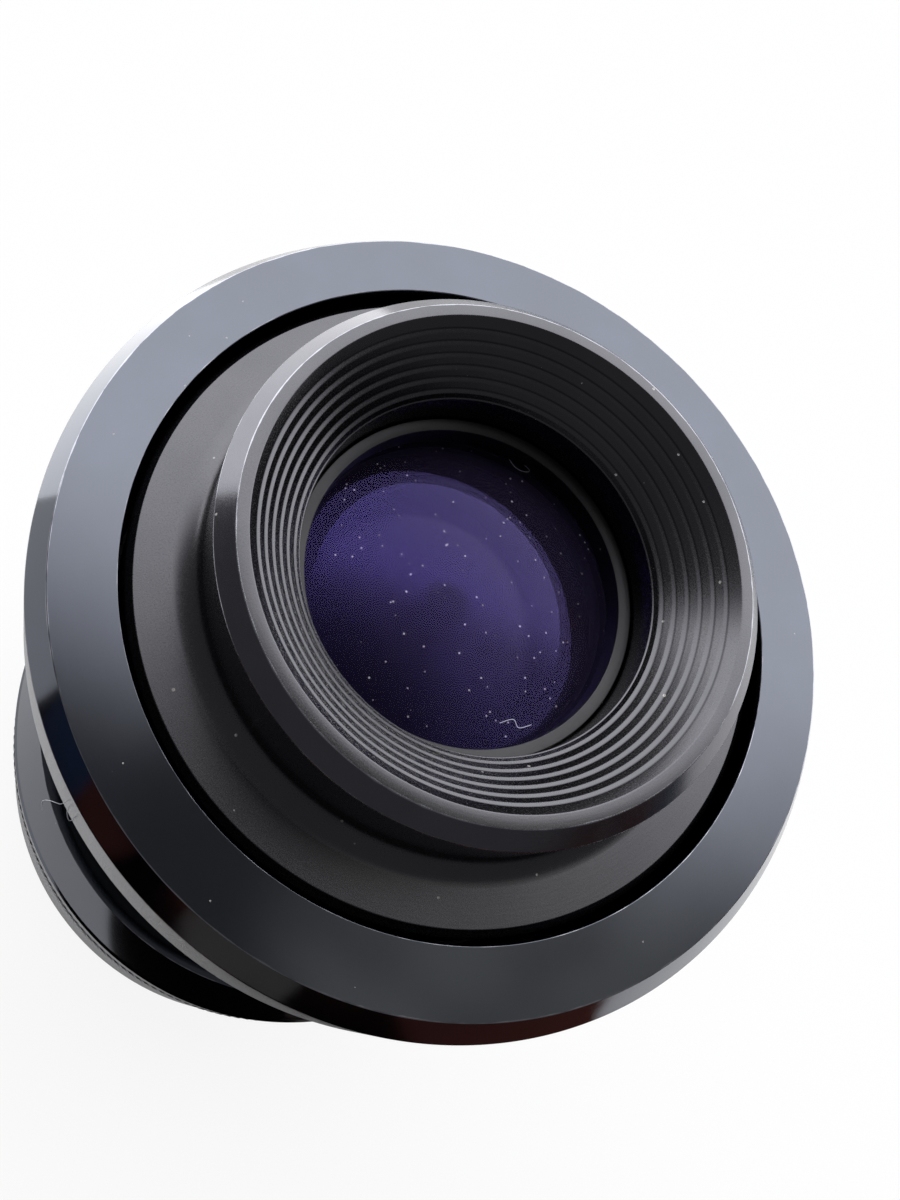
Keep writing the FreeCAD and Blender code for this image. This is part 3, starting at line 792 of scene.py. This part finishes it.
# The thread ring about the glass: dull and dusty, so that it throws no light on the lens.
ring_black = anodised(
    "dull_black_anodised_thread_ring", "#2d2d2f", "#3c3c3d", roughness=0.34, line_pitch=0.16,
    line_depth=0.003, grain_depth=0.002, rough_swing=0.06, speck_size=0.14)

# Coarse turned walls of the neck and the inside: nearly matt black.
plain = anodised(
    "dull_turned_black_anodised_aluminium", "#2b2b2e", "#35353a", roughness=0.42,
    line_pitch=0.2, line_depth=0.004, grain_depth=0.002, rough_swing=0.08)

# Blackened steel of the set screws: a dark oxide over steel, dull with a faint shine.
steel, steel_tree = new_material("blackened_steel")
steel_grain = add_node(steel_tree, "ShaderNodeTexNoise", {"Scale": 1 / OXIDE_GRAIN, "Detail": 2.0},
                       {"Vector": millimetres(steel_tree)})
steel_colour = add_node(steel_tree, "ShaderNodeMix", {
    "data_type": "RGBA", "A": linear("#333335"), "B": linear("#434346")},
    {"Factor": steel_grain.outputs["Fac"]})
steel_shader = add_node(steel_tree, "ShaderNodeBsdfPrincipled", {
    "Metallic": 1.0, "Roughness": 0.35}, {"Base Color": steel_colour.outputs["Result"]})
add_node(steel_tree, "ShaderNodeOutputMaterial", links={"Surface": steel_shader.outputs[0]})

# Polished optical glasses. The thin coating on each gives its weak reflections their colour.
violet_coat = coated_glass("violet_coated_lanthanum_glass", "#6355c0", "#ffffe3", dust_and_sheen=True)
dim_coat = sunken_glass("deep_violet_cemented_glass", "#100e19", "#4438a0")
magenta_coat = coated_glass("magenta_coated_flint_glass", "#7a3f78", "#a8a5b4", ior=1.5)
blue_coat = coated_glass("blue_coated_crown_glass", "#5a6cf0", "#c4c2cc")

front_barrel(satin, rubbed_rim)
front_ring(ring_black)
flange(polished, turned_edge)
sleeve(plain)
rear_ring(polished, turned_edge)
ground_lens("front_lens", violet_coat, (FRONT_CURVE, GLASS_OPENING, 1),
            (FRONT_BACK_CURVE, GLASS_OPENING, 1))
ground_lens("second_lens", dim_coat, (SECOND_CURVE, GLASS_OPENING, 1), None)
ground_lens("third_lens", magenta_coat, None, (THIRD_CURVE, STOP_SIDE_OPENING, 1))
ground_lens("fourth_lens", magenta_coat, (FOURTH_CURVE, STOP_SIDE_OPENING, -1), None)
ground_lens("fifth_lens", blue_coat, None, (FIFTH_CURVE, REAR_OPENING, -1))
ground_lens("rear_lens", violet_coat, (REAR_FRONT_CURVE, REAR_OPENING, 1),
            (REAR_CURVE, REAR_OPENING, -1))
lint(fibre_white)

# The other pieces keep their solid's mesh and get a plain finish.
NODE_FINISH = {"black_anodise": plain, "screw_steel": steel}
for part in frame["record"]["subparts"]:
    node = frame["nodes"][part["node"]]
    finish = NODE_FINISH.get(part["material_slot"])
    if finish and node.type == "MESH":
        for holder in node.material_slots:
            holder.material = finish


# Floor, light and camera, in millimetres. A light or a dark gap in the room is given by its
# direction, by the cosines at which it starts and is full, and by how much it gives or takes.

TABLE_HALF = 4000
SHEET_HEIGHT = 0.3
SHEET_PATCH = 75
SHEET_EDGE = ((44, 100), (108, 100), (112, TABLE_HALF), (TABLE_HALF, TABLE_HALF))
CARD_EDGES = ((112, 1), (140, 108))
CARD_TURNS = range(138, 206, 4)
CARD_STRENGTH = 2.9

WINDOW = ((-0.49, 0.87, 0.0), 0.15, 0.42, 1.0)
LAMP = ((0.294, 0.304, 0.906), 0.962, 0.986, 0.34)
DARK_OVERHEAD = ((0.036, 0.205, 0.978), 0.9903, 0.9969, 0.85)
DARK_BESIDE = ((0.022, 0.3165, 0.948), 0.990, 0.9975, 0.95)
ROOM_LIGHT = (0.044, 0.044, 0.054, 1)
WINDOW_LIGHT = (3.22, 3.22, 3.28, 1)
LAMP_LIGHT = (1, 1, 0.88, 1)
WHITE = (1, 1, 1, 1)


def sheet(name, corners, material, reflected_only=False):
    """A flat or bent piece of the studio, from rows of corners in millimetres. One that is only
    reflected is seen in gloss and through glass alone."""
    across = len(corners[0])
    vertices = [Vector(c) * MM for row in corners for c in row]
    faces = [(i * across + j, i * across + j + 1, (i + 1) * across + j + 1, (i + 1) * across + j)
             for i in range(len(corners) - 1) for j in range(across - 1)]
    mesh = bpy.data.meshes.new(name)
    mesh.from_pydata(vertices, [], faces)
    mesh.materials.append(material)
    piece = bpy.data.objects.new(name, mesh)
    bpy.context.scene.collection.objects.link(piece)
    if reflected_only:
        piece.visible_camera = False
        piece.visible_diffuse = False
        piece.visible_shadow = False


def background_share(tree, to_camera, to_gloss):
    """How much of the plain white background a ray sees: the camera's own rays one share, and
    rays off metal or through glass another."""
    path = add_node(tree, "ShaderNodeLightPath")
    gloss = add_node(tree, "ShaderNodeMath", {"operation": "MAXIMUM"}, {
        0: path.outputs["Is Transmission Ray"], 1: path.outputs["Is Glossy Ray"]})
    faint = add_node(tree, "ShaderNodeMath", {"operation": "MULTIPLY", 1: to_gloss},
                     {0: gloss.outputs[0]})
    strong = add_node(tree, "ShaderNodeMath", {"operation": "MULTIPLY", 1: to_camera},
                      {0: path.outputs["Is Camera Ray"]})
    return add_node(tree, "ShaderNodeMath", {"operation": "MAXIMUM"},
                    {0: faint.outputs[0], 1: strong.outputs[0]}).outputs[0]


def white_table():
    """A table of white paper, which keeps the object's shadow."""
    paper, tree = new_material("white_paper")
    diffuse = add_node(tree, "ShaderNodeBsdfDiffuse", {"Color": linear("#f4f4f4")})
    white = add_node(tree, "ShaderNodeEmission", {"Color": WHITE, "Strength": 1.0})
    mix = add_node(tree, "ShaderNodeMixShader", links={
        0: background_share(tree, 0.9, 0.4), 1: diffuse.outputs[0], 2: white.outputs[0]})
    add_node(tree, "ShaderNodeOutputMaterial", links={"Surface": mix.outputs[0]})
    sheet("white_table", [[(x, y, 0) for x in (-TABLE_HALF, TABLE_HALF)]
                          for y in (-TABLE_HALF, TABLE_HALF)], paper)


def dark_sheet():
    """A sheet with mottled dark colours on the near right, which only gloss and glass show."""
    dark, tree = new_material("mottled_dark_sheet")
    patches = add_node(tree, "ShaderNodeTexVoronoi", {"Scale": 1 / SHEET_PATCH, "Randomness": 1.0},
                       {"Vector": millimetres(tree)})
    which = add_node(tree, "ShaderNodeSeparateColor", links={"Color": patches.outputs["Color"]})
    colours = add_node(tree, "ShaderNodeValToRGB", links={"Fac": which.outputs["Green"]})
    ramp = colours.color_ramp
    ramp.interpolation = "CONSTANT"
    ramp.elements[0].color = linear("#120d0e")
    ramp.elements[1].position = 0.4
    ramp.elements[1].color = linear("#5c352f")
    for position, colour in ((0.66, "#7b756c"), (0.8, "#33425c"), (0.9, "#0d0b0d")):
        ramp.elements.new(position).color = linear(colour)
    dull = add_node(tree, "ShaderNodeBsdfDiffuse", links={"Color": colours.outputs["Color"]})
    add_node(tree, "ShaderNodeOutputMaterial", links={"Surface": dull.outputs[0]})
    edge = Vector((1, 1, 0)).normalized()
    out = Vector((1, -1, 0)).normalized()
    rise = Vector((0, 0, SHEET_HEIGHT))
    rows = [[tuple(edge * along + out * away + rise) for along in (-TABLE_HALF, end)]
            for away, end in SHEET_EDGE]
    sheet("dark_sheet_on_the_near_right", rows, dark, True)


def white_card():
    """A lit white card that stands in a curve on the left, which only gloss and glass show."""
    card, tree = new_material("lit_white_card")
    lit = add_node(tree, "ShaderNodeEmission", {"Color": WHITE, "Strength": CARD_STRENGTH})
    add_node(tree, "ShaderNodeOutputMaterial", links={"Surface": lit.outputs[0]})
    rows = [[(reach * math.cos(math.radians(turn)), reach * math.sin(math.radians(turn)), height)
             for turn in CARD_TURNS] for reach, height in CARD_EDGES]
    sheet("white_card_on_the_left", rows, card, True)


def side_of_room(tree, way, direction, start, full, amount):
    """Light from one side of the room, 0 to amount from start to full cosine."""
    side = add_node(tree, "ShaderNodeVectorMath", {"operation": "DOT_PRODUCT", 1: direction},
                    {0: way})
    return add_node(tree, "ShaderNodeMapRange", {
        "interpolation_type": "SMOOTHSTEP", "From Min": start, "From Max": full, "To Min": 0.0,
        "To Max": amount}, {"Value": side.outputs["Value"]}).outputs[0]


def room_light():
    """Soft light from a wide window on the far left and a faint lamp behind slats, with two dark
    gaps overhead."""
    world = bpy.data.worlds.new("window_light")
    bpy.context.scene.world = world
    world.use_nodes = True
    tree = world.node_tree
    tree.nodes.clear()
    way = add_node(tree, "ShaderNodeTexCoord").outputs["Generated"]
    window = side_of_room(tree, way, *WINDOW)
    lamp = side_of_room(tree, way, *LAMP)
    gap = add_node(tree, "ShaderNodeMath", {"operation": "MAXIMUM"}, {
        0: side_of_room(tree, way, *DARK_OVERHEAD), 1: side_of_room(tree, way, *DARK_BESIDE)})
    light = add_node(tree, "ShaderNodeMix", {
        "data_type": "RGBA", "A": ROOM_LIGHT, "B": WINDOW_LIGHT}, {"Factor": window})
    strength = add_node(tree, "ShaderNodeMath", {"operation": "SUBTRACT", 0: 1.0},
                        {1: gap.outputs[0]})
    room = add_node(tree, "ShaderNodeBackground", links={
        "Color": light.outputs["Result"], "Strength": strength.outputs[0]})
    upright = add_node(tree, "ShaderNodeVectorMath", {"operation": "MULTIPLY", 1: (16, 16, 3)},
                       {0: way})
    blinds = add_node(tree, "ShaderNodeTexNoise", {"Scale": 1.0, "Detail": 1.0},
                      {"Vector": upright.outputs[0]})
    slats = add_node(tree, "ShaderNodeMapRange", {
        "From Min": 0.4, "From Max": 0.6, "To Min": 0.55, "To Max": 1.15},
        {"Value": blinds.outputs["Fac"]})
    slatted = add_node(tree, "ShaderNodeMath", {"operation": "MULTIPLY"},
                       {0: lamp, 1: slats.outputs[0]})
    glow = add_node(tree, "ShaderNodeBackground", {"Color": LAMP_LIGHT},
                    {"Strength": slatted.outputs[0]})
    both = add_node(tree, "ShaderNodeAddShader", links={0: room.outputs[0], 1: glow.outputs[0]})
    white = add_node(tree, "ShaderNodeBackground", {"Color": WHITE, "Strength": 1.0})
    mix = add_node(tree, "ShaderNodeMixShader", links={
        0: background_share(tree, 1.0, 0.1), 1: both.outputs[0], 2: white.outputs[0]})
    add_node(tree, "ShaderNodeOutputWorld", links={"Surface": mix.outputs[0]})


def camera():
    """The photograph's view: 39 mm off the axis and 151 mm above the table, turned so that the
    lens leans to the lower left."""
    data = bpy.data.cameras.new("viewpoint")
    data.sensor_fit = "VERTICAL"
    data.sensor_height = 36.0
    data.lens = 33.51
    data.shift_x = 0.0702
    data.shift_y = -0.0599
    data.clip_start = 0.005
    view = bpy.data.objects.new("viewpoint", data)
    right = Vector((0.6473, 0.7104, 0.2765))
    up = Vector((-0.7563, 0.5532, 0.3492))
    back = right.cross(up)
    turn = Matrix((right, up, back)).transposed().to_4x4()
    view.matrix_world = Matrix.Translation(Vector((0, -38.95, 150.93)) * MM) @ turn
    bpy.context.scene.collection.objects.link(view)
    bpy.context.scene.camera = view


white_table()
dark_sheet()
white_card()
room_light()
camera()
bpy.context.scene.view_settings.view_transform = "Standard"

bpy.context.view_layer.update()
